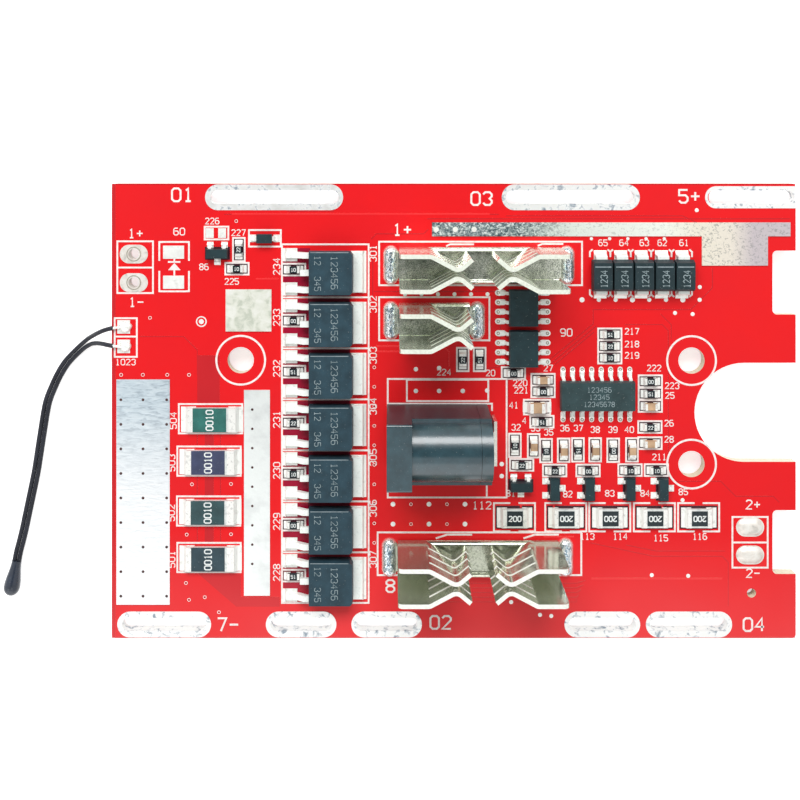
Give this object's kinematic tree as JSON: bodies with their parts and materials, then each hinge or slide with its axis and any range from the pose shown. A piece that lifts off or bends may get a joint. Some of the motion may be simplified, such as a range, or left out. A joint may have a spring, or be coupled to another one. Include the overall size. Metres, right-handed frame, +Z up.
{
  "type": "battery management board",
  "caption": "Flat lithium-pack board with a row of power transistors, a cell monitor, sheet-metal blade clips, a barrel charging socket and a wired temperature probe.",
  "frame": {"origin": "centre of the board's outline, on the plane that the tips of the lead tails stand on", "axes": "+X along the board towards the round cut-out, +Y towards the positive clip, +Z up out of the component side"},
  "size_m": [0.1062, 0.0606, 0.0137],
  "materials": {
    "laminate": "glass-epoxy laminate with glossy red solder mask and white legend",
    "tinned_copper": "hot-tinned copper, satin with small ripples",
    "bus_solder": "solder-flooded copper, mottled and slightly wavy",
    "solder": "bright solder",
    "tinned_lead": "matt tin plate",
    "power_moulding": "moulded epoxy with a fine blasted grain and faint marking",
    "diode_moulding": "moulded epoxy with a fine blasted grain",
    "ic_moulding": "moulded epoxy with a fine blasted grain",
    "shunt_coating": "matt protective coating with a printed value",
    "resistor_glaze": "black overglaze with a printed value",
    "capacitor_ceramic": "fired tan ceramic",
    "contact_sheet": "tin-plated spring copper sheet, satin",
    "socket_moulding": "moulded black plastic, semi-gloss",
    "plated_contact": "nickel plate",
    "wire_insulation": "thin black insulation",
    "probe_resin": "dipped black epoxy"
  },
  "bodies": {
    "root": {"circuit_board": "laminate", "cell_slot_plating": "tinned_copper", "upper_bus": "bus_solder", "left_bus": "bus_solder", "middle_bus": "bus_solder", "solder_lands": "tinned_copper", "wire_lands": "tinned_copper", "lead_solder": "solder", "mosfet_1": "power_moulding", "mosfet_2": "power_moulding", "mosfet_3": "power_moulding", "mosfet_4": "power_moulding", "mosfet_5": "power_moulding", "mosfet_6": "power_moulding", "mosfet_7": "power_moulding", "mosfet_leads_1": "tinned_lead", "mosfet_leads_2": "tinned_lead", "mosfet_leads_3": "tinned_lead", "mosfet_leads_4": "tinned_lead", "mosfet_leads_5": "tinned_lead", "mosfet_leads_6": "tinned_lead", "mosfet_leads_7": "tinned_lead", "shunt_1": "shunt_coating", "shunt_2": "shunt_coating", "shunt_3": "shunt_coating", "shunt_4": "shunt_coating", "shunt_caps": "tinned_lead", "cell_diode_1": "diode_moulding", "cell_diode_2": "diode_moulding", "cell_diode_3": "diode_moulding", "cell_diode_4": "diode_moulding", "cell_diode_5": "diode_moulding", "cell_diode_leads": "tinned_lead", "charge_switch_1": "ic_moulding", "charge_switch_2": "ic_moulding", "cell_monitor": "ic_moulding", "ic_leads": "tinned_lead", "balance_resistor_1": "resistor_glaze", "balance_resistor_2": "resistor_glaze", "balance_resistor_3": "resistor_glaze", "balance_resistor_4": "resistor_glaze", "balance_resistor_5": "resistor_glaze", "balance_resistor_caps": "tinned_lead", "transistors": "ic_moulding", "transistor_leads": "tinned_lead", "chip_resistors": "resistor_glaze", "chip_capacitors": "capacitor_ceramic", "chip_caps": "tinned_lead", "clamp_diode": "ic_moulding", "clamp_diode_leads": "tinned_lead", "positive_clip": "contact_sheet", "charge_clip": "contact_sheet", "negative_clip": "contact_sheet", "jack_housing": "socket_moulding", "jack_rear_cap": "socket_moulding", "jack_pin": "plated_contact", "jack_contacts": "plated_contact", "ntc_wire_a": "wire_insulation", "ntc_wire_b": "wire_insulation", "ntc_bead": "probe_resin"}
  },
  "joints": []
}
